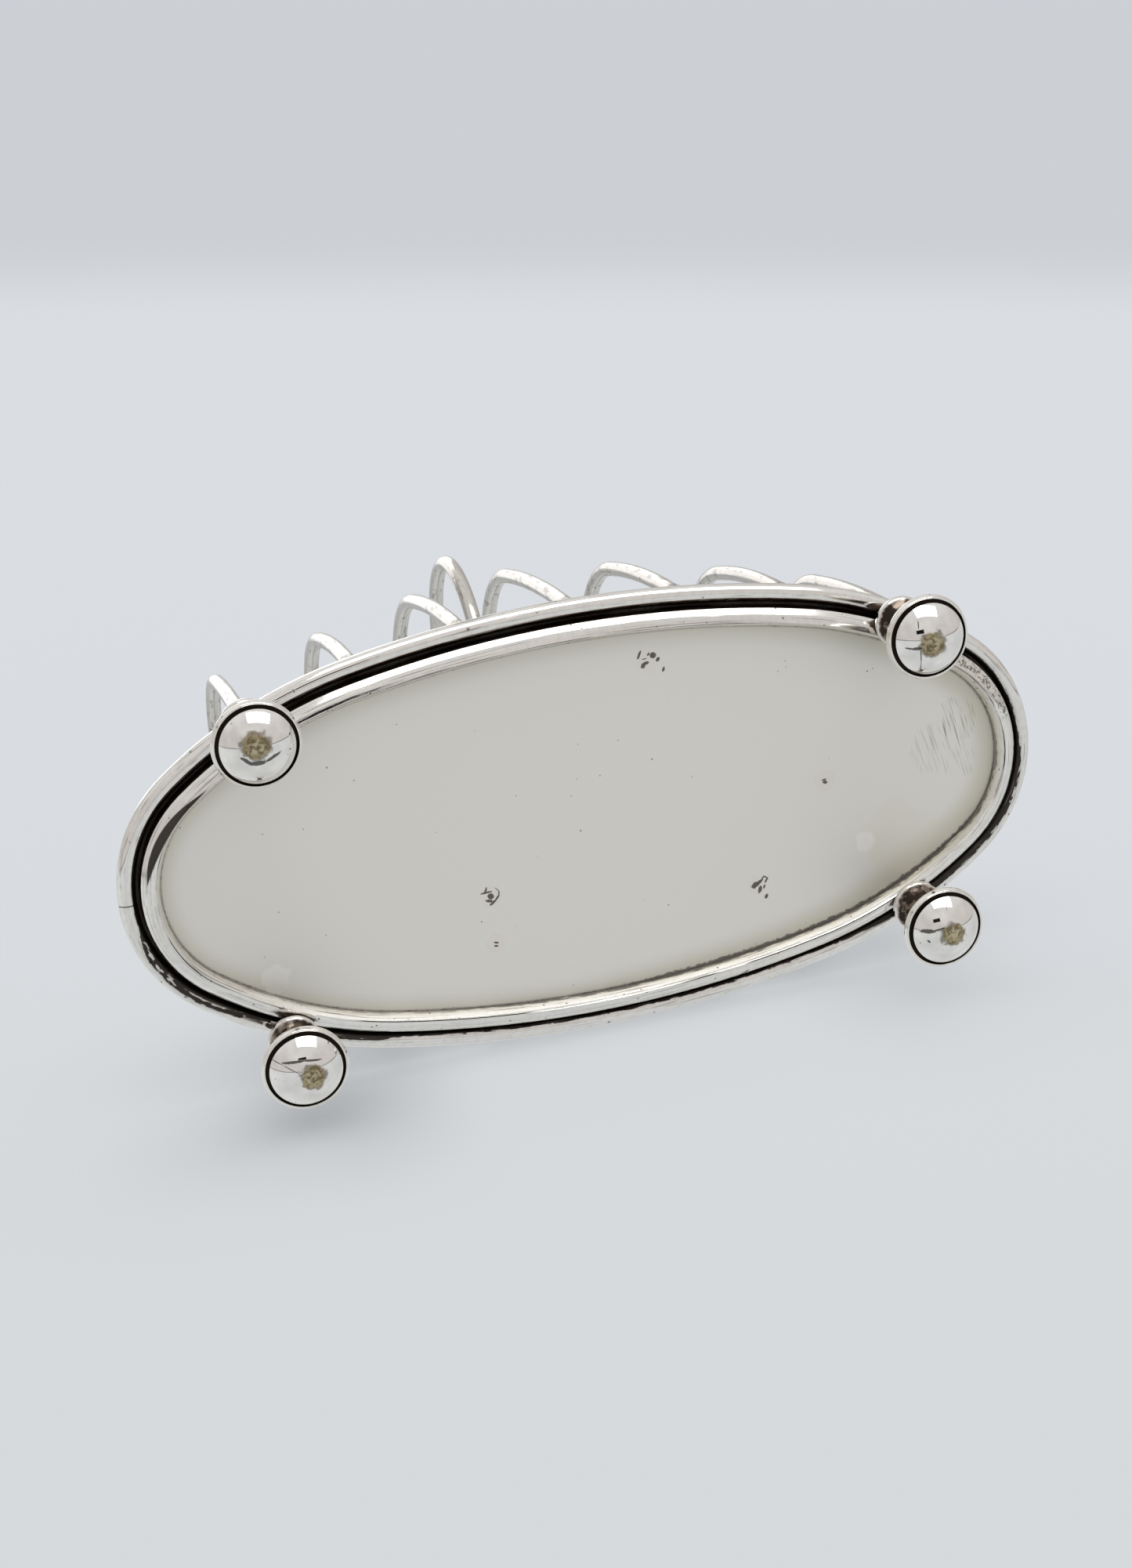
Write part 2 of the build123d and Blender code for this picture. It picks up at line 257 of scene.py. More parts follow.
class Silver(Surface):
    """Old silver plate: a polished ground with layers of tarnish, wear, dirt, painted shade and painted
    reflection over it.
    """

    def __init__(self, name, ground=SILVER, roughness=0.12, mottle=0.25):
        super().__init__(name)
        cloud = self.step(self.noise(0.10, 4.0), 0.42, 0.70)
        fine = self.step(self.noise(0.9, 3.0), 0.40, 0.75)
        self.colour = self.blend(self.math("MULTIPLY", cloud, mottle), ground, SILVER_WARM)
        self.colour = self.blend(self.math("MULTIPLY", fine, mottle * 0.5), self.colour, TARNISH_GREY)
        spread = self.math("MULTIPLY_ADD", fine, roughness * 0.6, roughness)
        self.roughness = self.math("MULTIPLY_ADD", cloud, roughness * 0.5, spread)
        self.height = self.math("MULTIPLY", self.noise(0.35, 2.0), 0.5)

    def layer(self, mask, tint, roughness=None, strength=1.0):
        """Covers the ground where the mask is 1."""
        if strength != 1.0:
            mask = self.math("MULTIPLY", mask, strength)
        self.colour = self.blend(mask, self.colour, tint)
        if roughness is not None:
            self.roughness = self.blend(mask, self.roughness, roughness, "FLOAT")

    def dent(self, mask, depth):
        """Raises or lowers the bump where the mask is 1."""
        self.height = self.math("MULTIPLY_ADD", mask, depth, self.height)

    def finish(self, bump=0.05, distance=0.0002):
        bumped = self.node("ShaderNodeBump", Strength=bump, Distance=distance, Height=self.height)
        shader = self.node("ShaderNodeBsdfPrincipled", Base_Color=self.colour, Metallic=1.0,
                           Roughness=self.roughness, Normal=bumped.outputs[0])
        return self.show(shader.outputs[0])

    def oval_share(self):
        """Place round the oval as a share of a turn, from 0 at +X by way of +Y."""
        x, y, _ = self.parts(self.place)
        angle = self.math("ARCTAN2", self.math("MULTIPLY", y, RING_LENGTH / RING_WIDTH), x)
        return self.math("FRACT", self.math("MULTIPLY_ADD", angle, 0.5 / math.pi, 1.0))

    def share_band(self, start, end, fade=0.012):
        """1 where the place round the oval is between these shares of a turn."""
        share = self.oval_share()
        return self.math("MULTIPLY", self.step(share, start - fade, start + fade),
                         self.step(share, end + fade, end - fade))

    def oval_inset(self):
        """Distance inwards from the centre line of the outer ring, in mm."""
        corner = self.vector("MULTIPLY", self.vector("ABSOLUTE", self.place), (1.0, 1.0, 0.0))
        inset = None
        for (x, y, radius), turn in ((END_ARC, 0.0), (SHOULDER_ARC, END_TURN), (SIDE_ARC, SIDE_TURN)):
            offset = self.vector("SUBTRACT", corner, (x, y, 0.0))
            short = self.math("SUBTRACT", radius, self.vector("LENGTH", offset))
            own = self.math("MULTIPLY", short, 1 / MM)
            if inset is None:
                inset = own
                continue
            past = self.vector("DOT_PRODUCT", offset, (-math.sin(turn), math.cos(turn), 0.0))
            inset = self.blend(self.math("GREATER_THAN", past, 0.0), inset, own, "FLOAT")
        return inset

    def along_oval(self, length, across):
        """Noise drawn out along the oval: length of a streak in mm, and streaks across each mm."""
        round_place = self.node("ShaderNodeCombineXYZ")
        self.feed(round_place.inputs[0], self.math("MULTIPLY", self.oval_share(), 400.0 / length))
        self.feed(round_place.inputs[1], self.math("MULTIPLY", self.oval_inset(), across))
        self.feed(round_place.inputs[2], self.math("MULTIPLY", self.parts(self.place_mm)[2], across))
        return self.noise(1.0, 2.0, round_place.outputs[0])

    def off_axis(self, x, y):
        """Distance from the upright axis through x, y."""
        flat = self.vector("MULTIPLY", self.place, (1.0, 1.0, 0.0))
        return self.vector("DISTANCE", flat, (x, y, 0.0))

    def radius_mm(self, x, y):
        """The same distance in mm."""
        return self.math("MULTIPLY", self.off_axis(x, y), 1 / MM)

    def spot(self, x, y, radius, ragged, scale):
        """A ragged round spot, its place and radius in metres, with this many notches a millimetre."""
        distance = self.off_axis(x, y)
        edge = self.math("MULTIPLY_ADD", self.noise(scale, 4.0), ragged * 2 * radius, distance)
        return self.step(edge, radius * (1.15 + ragged), radius * (0.85 + ragged))


# Patches of tarnish under the ring: start, end and softness of the ends as shares of a turn, and how
# many mm further than elsewhere the black reaches there
RING_PATCHES = [(0.893, 0.972, 0.018, 1.30), (0.835, 0.858, 0.008, 0.75), (0.51, 0.645, 0.02, 0.80)]


def ring_silver():
    g = Silver("ring_silver", roughness=0.07)
    inset = g.oval_inset()
    # the flank that faces the rim is black, and patches of it reach round under the wire
    patches = [g.share_band(*patch[:3]) for patch in RING_PATCHES]
    reach = inset
    for patch, (*_, further) in zip(patches, RING_PATCHES):
        reach = g.math("MULTIPLY_ADD", patch, further, reach)
    ragged = g.math("MULTIPLY_ADD", g.along_oval(4.0, 2.5), -0.7, g.math("MULTIPLY", g.noise(0.7, 4.0), -0.5))
    covered = g.math("ADD", reach, ragged)
    # bright flecks along the edge of the black, and deeper into the first patch
    bare = g.step(g.math("MULTIPLY_ADD", patches[0], -0.75, covered), 0.75, 0.45)
    flecks = g.math("MULTIPLY", g.step(g.along_oval(3.0, 1.6), 0.54, 0.62), bare)
    g.layer(g.step(covered, -0.25, 0.35), TARNISH_GREY, 0.25, 0.35)
    g.layer(g.math("SUBTRACT", g.step(covered, 0.22, 0.34), flecks), TARNISH, 0.40, 0.95)
    # the groove where the two ends of the wire meet lies below the wire's surface
    height = g.math("SUBTRACT", g.parts(g.place_mm)[2], RING_Z / MM)
    depth = g.vector("LENGTH", g.node("ShaderNodeCombineXYZ", X=inset, Y=height).outputs[0])
    g.layer(g.step(depth, RING_WIRE / MM - 0.04, RING_WIRE / MM - 0.10), TARNISH, 0.5)
    lines = g.step(g.along_oval(9.0, 2.2), 0.60, 0.70)
    g.layer(lines, TARNISH_GREY, 0.3, 0.55)
    pits = g.specks(0.8, 0.30, 0.10)
    g.layer(pits, TARNISH, 0.5, 0.6)
    g.dent(lines, -0.5)
    g.dent(pits, -1.0)
    return g.finish(0.15)


# Lines of the moulding and the panel, as insets from the ring's centre line in mm
RIM_WALL = 2.4
RIM_CROWN = 3.3
RIM_RIDGE = 4.74
PANEL_INSET = 5.7

# The dark crescent, a painted reflection: its middle and half length as shares of a turn, then in mm
# its half width, its inset and how much its line leans over the half length
CRESCENT_MIDDLE = 0.051
CRESCENT_HALF = 0.036
CRESCENT_WIDTH = 0.80
CRESCENT_INSET = 3.95
CRESCENT_LEAN = 0.62
CRESCENT_REFLECTION = colour(0.042, 0.034, 0.028)

# The scratched and pitted length, with its ends as shares of a turn and their softness, and a nick
PITTED = (0.412, 0.476, 0.006)
PITTED_METAL = colour(0.17, 0.155, 0.12)
RIM_NICK = (-24.8 * MM, -34.6 * MM)


def rim_silver():
    g = Silver("rim_silver", roughness=0.08)
    z = g.parts(g.place_mm)[2]
    inset = g.oval_inset()
    # the wall towards the outer ring is brown, and black deep in the gap
    wall = g.math("MULTIPLY", g.step(inset, RIM_WALL + 0.02, RIM_WALL - 0.04), g.step(z, 18.70, 18.88))
    g.layer(wall, TARNISH_BROWN, 0.5)
    deep = g.math("MULTIPLY_ADD", g.noise(0.4, 2.0), 0.5, z)
    g.layer(g.math("MULTIPLY", wall, g.step(deep, 19.2, 19.6)), TARNISH, 0.5)
    # fine lines left by drawing the moulding, the crease along its ridge and dirt in its corners
    flank = g.step(inset, RIM_RIDGE - 0.02, RIM_RIDGE + 0.06)
    lines = g.step(g.along_oval(16.0, 4.0), 0.57, 0.68)
    g.layer(lines, TARNISH_GREY, 0.25, g.math("MULTIPLY_ADD", flank, 0.30, 0.65))
    ridge = g.step(g.math("ABSOLUTE", g.math("SUBTRACT", inset, RIM_RIDGE)), 0.10, 0.04)
    g.layer(ridge, TARNISH, 0.4, g.step(g.along_oval(14.0, 0.1), 0.38, 0.56))
    low = g.share_band(0.52, 0.80, 0.05)
    corner = g.math("MULTIPLY_ADD", g.along_oval(2.5, 1.5), 0.5, inset)
    dirt = g.math("MULTIPLY_ADD", low, 0.25, 0.45)
    g.layer(g.step(corner, PANEL_INSET + 0.08, PANEL_INSET + 0.20), TARNISH, 0.5, dirt)
    # a painted dark reflection in a crescent near +X, and a scratched and pitted length near -X
    share = g.oval_share()
    from_middle = g.math("MULTIPLY", g.math("SUBTRACT", share, CRESCENT_MIDDLE), 1 / CRESCENT_HALF)
    squared = g.math("MULTIPLY", from_middle, from_middle)
    taper = g.math("MULTIPLY_ADD", squared, -CRESCENT_WIDTH, CRESCENT_WIDTH)
    line = g.math("MULTIPLY_ADD", from_middle, CRESCENT_LEAN, CRESCENT_INSET)
    off_line = g.math("ABSOLUTE", g.math("SUBTRACT", line, inset))
    crescent = g.step(g.math("SUBTRACT", off_line, taper), 0.06, -0.12)
    g.layer(crescent, CRESCENT_REFLECTION, 0.22, 0.96)
    on_crown = g.step(g.math("ABSOLUTE", g.math("SUBTRACT", inset, RIM_CROWN)), 1.0, 0.7)
    rough = g.step(g.noise(1.5, 4.0, distortion=0.6), 0.48, 0.60)
    pitted = g.math("MULTIPLY", g.math("MULTIPLY", g.share_band(*PITTED), on_crown), rough)
    g.layer(pitted, PITTED_METAL, 0.45, 0.85)
    nick = g.strokes(RIM_NICK, [(-0.9, 0.5, 0.6, -0.5, 0.16)])
    g.layer(nick, TARNISH, 0.5, 0.8)
    pits = g.specks(1.2, 0.32, 0.06)
    g.layer(pits, TARNISH, 0.5, 0.7)
    g.dent(lines, -0.6)
    g.dent(pitted, -1.0)
    g.dent(pits, -1.0)
    return g.finish(0.12)


# Stains on the panel: where, as shares of its half length and half width, and their strokes
PANEL_STAINS = [
    ((-0.163, 0.805), [
        (1.3, 1.9, 1.9, 0.7, 0.14), (1.15, 0.4, 0.3, 0.45, 0.06), (0.0, 1.0, -0.2, 1.3, 0.12),
        (-0.8, 0.9, -1.0, 0.75, 0.36), (-1.6, -0.2, -1.9, 0.1, 0.20), (0.2, -0.35, 0.8, -0.45, 0.20),
        (0.8, -0.45, 1.2, -0.95, 0.24), (-2.7, -1.8, -2.5, -2.3, 0.15),
    ]),
    ((0.26, -0.32), [
        (0.6, 1.7, 1.0, 0.8, 0.12), (1.7, 0.8, -0.25, 0.9, 0.12), (0.1, 0.1, -0.1, -0.1, 0.36),
        (0.9, -0.7, -0.1, -0.95, 0.17), (-1.0, 1.4, -1.6, 0.7, 0.05), (-1.6, 0.7, -1.5, -0.1, 0.08),
        (-1.5, -0.1, -0.8, -0.9, 0.12), (-0.8, -0.9, 0.2, -1.6, 0.16),
    ]),
    ((-0.378, -0.55), [
        (1.0, -0.1, 0.2, 0.25, 0.34), (0.2, 0.25, -0.7, 0.8, 0.20), (-0.7, 0.9, -1.2, 1.5, 0.09),
        (-1.2, 1.5, -1.9, 1.0, 0.09), (-1.9, 1.0, -1.3, 0.25, 0.12), (-0.4, -0.5, -0.1, -1.4, 0.22),
        (-1.2, -0.3, -1.0, -0.8, 0.12), (-1.25, -2.7, -1.5, -2.3, 0.20),
    ]),
    ((-0.56, -0.03), [(0.4, 0.2, -0.3, 0.3, 0.10), (0.1, -0.2, -0.2, -0.3, 0.22)]),
    ((0.26, -0.59), [(0.3, 0.3, -0.3, 0.1, 0.12), (0.3, -0.4, -0.2, -0.5, 0.12)]),
]
STAIN = colour(0.060, 0.040, 0.034)
STAIN_HALO = colour(0.86, 0.78, 0.70)

# Brushed patches, yellowed patch and cleaner spots of the panel: shares of its half length and half
# width, radius in mm, and how much of the patch shows
BRUSHED = [(-0.90, 0.18, 4.0, 0.85), (-0.845, 0.05, 5.0, 0.45), (-0.90, -0.05, 3.4, 0.35)]
YELLOWED = (-0.74, -0.44, 7.0, 0.25)
CLEANER = [(0.77, -0.55, 2.6, 0.5), (-0.65, -0.42, 1.9, 0.5)]
HAIR = colour(0.36, 0.35, 0.26)
YELLOW = colour(0.84, 0.81, 0.68)
CLEAN = colour(0.98, 0.975, 0.95)
# painted shade along the edge of the panel
PAINTED_SHADE = colour(0.66, 0.63, 0.50)


def on_panel(along, across):
    return along * PANEL_LENGTH, across * PANEL_WIDTH


def panel_silver():
    g = Silver("panel_silver", ground=colour(0.878, 0.870, 0.836), mottle=0.0)
    # evenly dull from end to end
    g.roughness = 0.62
    # painted shade and a dark line where the panel meets the moulding, broadest towards -X and -Y
    edge = g.math("SUBTRACT", PANEL_INSET, g.oval_inset())
    minus_x = g.step(g.parts(g.place_mm)[0], -20.0, -75.0)
    low = g.math("MULTIPLY", g.share_band(0.56, 0.74, 0.03), 1.3)
    painted_shade = g.math("MULTIPLY_ADD", minus_x, 2.0, g.math("MULTIPLY_ADD", low, 0.8, edge))
    g.layer(g.step(painted_shade, -4.2, 1.2), PAINTED_SHADE, None, 0.55)
    smear = g.math("MULTIPLY_ADD", g.noise(1.1, 4.0), 1.3, g.math("MULTIPLY_ADD", low, 0.38, edge))
    g.layer(g.step(smear, 0.45, 0.85), TARNISH, 0.55, 0.70)
    g.layer(g.step(edge, -0.45, -0.05), TARNISH_GREY, 0.5, 0.6)
    # the stains are on the underside only
    underside = g.step(g.parts(g.normal)[2], 0.0, -0.5)
    for shares, lines in PANEL_STAINS:
        place = on_panel(*shares)
        g.layer(g.spot(*place, 2.0 * MM, 0.5, 0.5), STAIN_HALO, None, 0.22)
        marks = g.math("MULTIPLY", g.strokes(place, lines), underside)
        g.layer(marks, STAIN, 0.6, 0.85)
        g.dent(marks, -1.0)
    # fine scratches lean across the brushed patches
    leaning = g.node("ShaderNodeVectorRotate", {"rotation_type": "Z_AXIS"},
                     Vector=g.place_mm, Angle=math.radians(13.0))
    hairs = g.noise(1.0, 2.0, g.vector("MULTIPLY", leaning.outputs[0], (4.2, 0.13, 1.0)))
    for along, across, radius, strength in BRUSHED:
        brushed = g.spot(*on_panel(along, across), radius * MM, 0.5, 0.25)
        g.layer(g.math("MULTIPLY", brushed, g.step(hairs, 0.52, 0.68)), HAIR, 0.5, strength)
    along, across, radius, strength = YELLOWED
    g.layer(g.spot(*on_panel(along, across), radius * MM, 0.7, 0.2), YELLOW, None, strength)
    for along, across, radius, strength in CLEANER:
        g.layer(g.spot(*on_panel(along, across), radius * MM, 0.5, 0.6), CLEAN, 0.40, strength)
    g.layer(g.specks(0.20, 0.045, 0.85), TARNISH_GREY, 0.5, 0.9)
    g.layer(g.specks(0.31, 0.060, 0.30), TARNISH_GREY, 0.5, 0.6)
    return g.finish(0.03)


def wire_silver():
    g = Silver("wire_silver", ground=colour(0.70, 0.685, 0.65), roughness=0.13)
    # lines left by drawing the wire, long in Z and short in X
    drawn = g.noise(1.5, 2.0, g.vector("MULTIPLY", g.place_mm, (1.0, 0.35, 0.16)))
    lines = g.step(drawn, 0.58, 0.68)
    g.layer(lines, TARNISH_GREY, 0.3, 0.65)
    # painted shade: greyer where it faces along X, towards the next hoop; and blackened just above the ring
    sides = g.step(g.math("ABSOLUTE", g.parts(g.normal)[0]), 0.55, 0.92)
    g.layer(sides, TARNISH_GREY, 0.2, 0.45)
    foot = g.math("MULTIPLY_ADD", g.noise(0.5, 3.0), 4.0, g.parts(g.place_mm)[2])
    g.layer(g.step(foot, 27.5, 25.0), TARNISH, 0.4, 0.6)
    g.layer(g.specks(0.7, 0.3, 0.10), TARNISH, 0.5, 0.6)
    g.dent(lines, -0.5)
    return g.finish(0.12)


def solder_silver():
    g = Silver("solder_silver", ground=colour(0.66, 0.64, 0.60), roughness=0.24, mottle=0.5)
    g.layer(g.step(g.noise(1.2, 4.0), 0.50, 0.62), TARNISH_GREY, 0.4, 0.8)
    g.layer(g.specks(2.0, 0.35, 0.20), TARNISH, 0.5, 0.7)
    g.dent(g.noise(1.6, 4.0), 1.5)
    return g.finish(0.35)


def joint_silver():
    """Solder that has gone black with dirt in the gap beside the ring."""
    g = Silver("joint_silver", ground=TARNISH, roughness=0.5, mottle=0.1)
    g.layer(g.step(g.along_oval(8.0, 1.0), 0.60, 0.72), TARNISH_BROWN, 0.5, 0.6)
    g.dent(g.noise(1.8, 4.0), 1.0)
    return g.finish(0.3)


# The metals that show through a worn spot on a dome
WORN_RIM = colour(0.17, 0.135, 0.09)
WORN_DARK = colour(0.22, 0.175, 0.10)
WORN_BRASS = colour(0.46, 0.40, 0.25)
WORN_CORE = colour(0.58, 0.52, 0.36)

# For each foot in mm from its middle: the worn spot's place and radius, and the marks on its dome
DOME_WEAR = {
    "front_left": ((-0.09, 0.12, 1.95), [
        (5.2, 1.2, 3.4, 1.2, 0.24), (3.4, 1.3, 1.4, 1.7, 0.10), (0.2, 5.5, 0.4, 4.6, 0.06),
        (4.4, -0.6, 4.1, -0.9, 0.12),
    ]),
    "back_left": ((0.73, -0.19, 2.10), [
        (5.2, -0.5, 4.0, -0.7, 0.10), (4.0, -0.7, 2.9, -0.6, 0.18), (2.95, -1.0, 2.7, -3.4, 0.06),
        (2.7, -3.4, 2.4, -5.8, 0.05), (2.7, 4.0, 2.9, 2.7, 0.06),
    ]),
    "front_right": ((-0.74, -0.16, 2.05), [
        (4.0, 2.9, 0.5, 3.1, 0.14), (0.5, 3.1, -2.4, 2.6, 0.12), (5.6, 3.3, 4.0, 2.6, 0.05),
        (4.0, 2.6, 1.5, 1.0, 0.05),
    ]),
    "back_right": ((0.60, 1.00, 2.20), [
        (3.1, -0.7, 1.7, -1.9, 0.20), (1.7, -1.9, -0.6, -1.9, 0.26), (-0.6, -1.9, -3.2, -0.8, 0.18),
    ]),
}


def dome_silver(foot):
    x, y = foot_place(foot)
    (shift_x, shift_y, radius), lines = DOME_WEAR[foot]
    g = Silver(f"dome_silver_{foot}", ground=colour(0.92, 0.905, 0.88), roughness=0.05, mottle=0.18)
    place = (x + shift_x * MM, y + shift_y * MM)
    # the plate is worn through to a brassy, grainy metal, with a darker rim round it
    worn = g.spot(*place, radius * MM, 0.42, 0.55)
    core = g.spot(*place, radius * 0.62 * MM, 0.55, 0.9)
    halo = g.spot(*place, radius * 1.15 * MM, 0.55, 0.8)
    grain = g.step(g.noise(0.9, 5.0, distortion=1.2), 0.42, 0.58)
    g.layer(halo, WORN_RIM, 0.28, 0.75)
    g.layer(worn, g.blend(grain, WORN_DARK, WORN_BRASS), 0.42)
    g.layer(g.math("MULTIPLY", core, grain), WORN_CORE, 0.45, 0.8)
    marks = g.strokes((x, y), lines)
    g.layer(marks, TARNISH, 0.4, 0.85)
    g.layer(g.specks(1.1, 0.25, 0.07), TARNISH_GREY, 0.5, 0.7)
    g.dent(worn, -1.2)
    g.dent(marks, -1.0)
    g.dent(g.math("MULTIPLY", worn, grain), 1.0)
    return g.finish(0.06)


def cup_silver(foot):
    x, y = foot_place(foot)
    g = Silver(f"cup_silver_{foot}", ground=colour(0.92, 0.90, 0.86), roughness=0.10)
    radius = g.radius_mm(x, y)
    z = g.parts(g.place_mm)[2]
    # the back is dull and darkest beside the stem, and the groove round the dome is black
    back = g.step(g.math("MULTIPLY_ADD", g.noise(0.5, 3.0), 2.0, z), 6.2, 8.6)
    g.layer(back, TARNISH_GREY, 0.3, 0.8)
    g.layer(g.math("MULTIPLY", g.step(radius, 5.4, 3.8), back), TARNISH, 0.4, 0.8)
    groove = g.math("MULTIPLY", g.step(radius, 7.02, 6.9), g.step(z, 6.0, 5.0))
    g.layer(groove, TARNISH, 0.45)
    g.layer(g.specks(1.0, 0.3, 0.10), TARNISH, 0.5, 0.5)
    return g.finish(0.10)


WAIST = colour(0.16, 0.115, 0.085)
SEAT = colour(0.085, 0.062, 0.046)


def stem_silver(foot):
    x, y = foot_place(foot)
    g = Silver(f"stem_silver_{foot}", ground=colour(0.62, 0.56, 0.50), roughness=0.15)
    z = g.parts(g.place_mm)[2]
    radius = g.radius_mm(x, y)
    # the waist is dark in patches, the collar's edge is rubbed bright and the seat is brown
    ragged = g.math("MULTIPLY_ADD", g.noise(0.7, 4.0), 1.6, radius)
    inner = g.step(ragged, 5.4, 4.8)
    g.layer(inner, WAIST, 0.22, 0.85)
    g.layer(g.math("MULTIPLY", inner, g.step(g.noise(0.5, 3.0), 0.38, 0.50)), TARNISH, 0.25, 0.92)
    edge = g.step(radius, 4.35, 4.6)
    g.layer(edge, SILVER, 0.12, 0.8)
    g.layer(g.step(z, 17.0, 17.4), SEAT, 0.45, 0.85)
    g.dent(g.noise(0.8, 3.0), 0.8)
    return g.finish(0.15)


def paint(name, material):
    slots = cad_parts[name].data.materials
    slots.clear()
    slots.append(material)


paint("outer_ring", ring_silver())
paint("base_rim", rim_silver())
paint("base_panel", panel_silver())
wire = wire_silver()
for name in HOOPS + ["handle_ring"]:
    paint(name, wire)
for foot in FEET:
    paint(f"foot_dome_{foot}", dome_silver(foot))
    paint(f"foot_cup_{foot}", cup_silver(foot))
    paint(f"foot_stem_{foot}", stem_silver(foot))
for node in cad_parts.values():
    for face in node.data.polygons:
        face.use_smooth = True


# ---- Solder -------------------------------------------------------------------------

def add_piece(name, points, faces, material):
    mesh = bpy.data.meshes.new(name)
    mesh.from_pydata(points, [], faces)
    mesh.materials.append(material)
    for face in mesh.polygons:
        face.use_smooth = True
    piece = bpy.data.objects.new(name, mesh)
    bpy.context.scene.collection.objects.link(piece)
    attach(piece, "root")
    return piece


def ring_faces(count, sides):
    """Faces of a closed tube made of this many sections with this many corners each."""
    faces = []
    for section in range(count):
        following = (section + 1) % count
        for side in range(sides):
            other = (side + 1) % sides
            faces.append((section * sides + side, following * sides + side,
                          following * sides + other, section * sides + other))
    return faces


# The strip of solder that holds the outer ring against the moulding: its corners as inset and Z in mm
JOINT_BAND = [(1.45, 20.70), (2.45, 20.95), (2.45, 21.45), (1.45, 21.35)]


def add_joint_band():
    turns = oval_turns()
    points = [oval_point(turn, inset * MM) + Vector((0, 0, z * MM))
              for turn in turns for inset, z in JOINT_BAND]
    faces = ring_faces(len(turns), len(JOINT_BAND))
    return add_piece("joint_band", points, faces, joint_silver())


FILLET_STEPS = 36
FILLET_RISE = 1.3 * MM
FILLET_SPREAD = 0.85 * MM
FILLET_EDGE = 0.05 * MM
# how far its lower edge lies inside the ring, and its upper edge inside the leg
FILLET_SINK = 0.06 * MM
FILLET_NIP = 0.04 * MM
# where its hidden inner corners are, as a share of the leg's radius
FILLET_CORE = 0.55


def add_leg_fillet(name, hoop, side):
    """Solder drawn up round the leg of a hoop where it stands on the ring."""
    x, wire, leg_y, _ = hoop_place(hoop)
    turn = oval_turn_at(x)
    normal = Vector((math.copysign(math.cos(turn), x), side * math.sin(turn), 0))
    tangent = Vector((-normal.y, normal.x, 0))
    centre = Vector((x, side * leg_y, 0))
    on_ring = oval_point(turn, 0)
    shift = (centre - Vector((math.copysign(on_ring.x, x), side * on_ring.y, 0))).dot(normal)

    def ring_top(radius, angle):
        """Z of the ring's upper surface at this place round the leg."""
        off = shift + radius * math.sin(angle)
        return RING_Z + math.sqrt(max(RING_WIRE ** 2 - off ** 2, 0))

    points = []
    for number in range(FILLET_STEPS):
        angle = 2 * math.pi * number / FILLET_STEPS
        way = tangent * math.cos(angle) + normal * math.sin(angle)
        lump = 1 + 0.12 * math.sin(3 * angle + 40 * x) + 0.08 * math.sin(5 * angle + side)
        reach = wire + (FILLET_EDGE + FILLET_SPREAD * abs(math.cos(angle)) ** 1.5) * lump
        foot = ring_top(reach, angle) - FILLET_SINK
        head = ring_top(wire * 0.9, angle) + FILLET_RISE * lump
        section = [(wire - FILLET_NIP, head),
                   (wire + 0.10 * MM, head + (foot - head) * 0.3),
                   (wire + (reach - wire) * 0.42, head + (foot - head) * 0.7),
                   (reach, foot),
                   (wire * FILLET_CORE, ring_top(wire * FILLET_CORE, angle) - 0.35 * MM),
                   (wire * FILLET_CORE, head - 0.15 * MM)]
        points += [centre + way * radius + Vector((0, 0, height)) for radius, height in section]
    return add_piece(name, points, ring_faces(FILLET_STEPS, len(section)), solder)


BEAD_ROWS = 12
BEAD_STEPS = 28
BEAD_LENGTH = 1.75 * MM
BEAD_WIDTH = 4.2 * MM
BEAD_HEIGHT = 1.5 * MM


def add_crown_bead():
    """Solder round the joint between the ring handle and the middle hoop."""
    _, wire, _, crown = hoop_place("hoop_4")
    middle = crown + wire
    points = [Vector((0, 0, middle + BEAD_HEIGHT))]
    for row in range(1, BEAD_ROWS):
        slope = math.pi * row / BEAD_ROWS
        for number in range(BEAD_STEPS):
            angle = 2 * math.pi * number / BEAD_STEPS
            lump = 1 + 0.06 * math.sin(3 * angle + 2 * slope)
            points.append(Vector((BEAD_LENGTH * math.sin(slope) * math.cos(angle) * lump,
                                  BEAD_WIDTH * math.sin(slope) * math.sin(angle) * lump,
                                  middle + BEAD_HEIGHT * math.cos(slope))))
    points.append(Vector((0, 0, middle - BEAD_HEIGHT)))
    # a fan at the top, rows of four-sided faces, and a fan at the bottom
    faces = [(1 + n, 1 + (n + 1) % BEAD_STEPS, 0) for n in range(BEAD_STEPS)]
    for row in range(BEAD_ROWS - 2):
        for n in range(BEAD_STEPS):
            a = 1 + row * BEAD_STEPS + n
            b = 1 + row * BEAD_STEPS + (n + 1) % BEAD_STEPS
            faces.append((a, a + BEAD_STEPS, b + BEAD_STEPS, b))
    last = 1 + (BEAD_ROWS - 2) * BEAD_STEPS
    end = len(points) - 1
    faces += [(last + n, end, last + (n + 1) % BEAD_STEPS) for n in range(BEAD_STEPS)]
    return add_piece("crown_bead", points, faces, solder)


solder = solder_silver()
add_joint_band()
for hoop in HOOPS:
    add_leg_fillet(f"fillet_{hoop}_front", hoop, -1)
    add_leg_fillet(f"fillet_{hoop}_back", hoop, 1)
add_crown_bead()

# ---- Camera -------------------------------------------------------------------------

# The photograph's camera: it looks at the rack's underside, and the picture's upper edge is towards +Y
CAMERA_PLACE = Vector((0.0962, 0.1420, -0.3718))
CAMERA_LOOK = Vector((-0.21623, -0.31715, 0.92340))
CAMERA_DOWN = Vector((0.17657, -0.94288, -0.28249))
CAMERA_LENS = 54.89


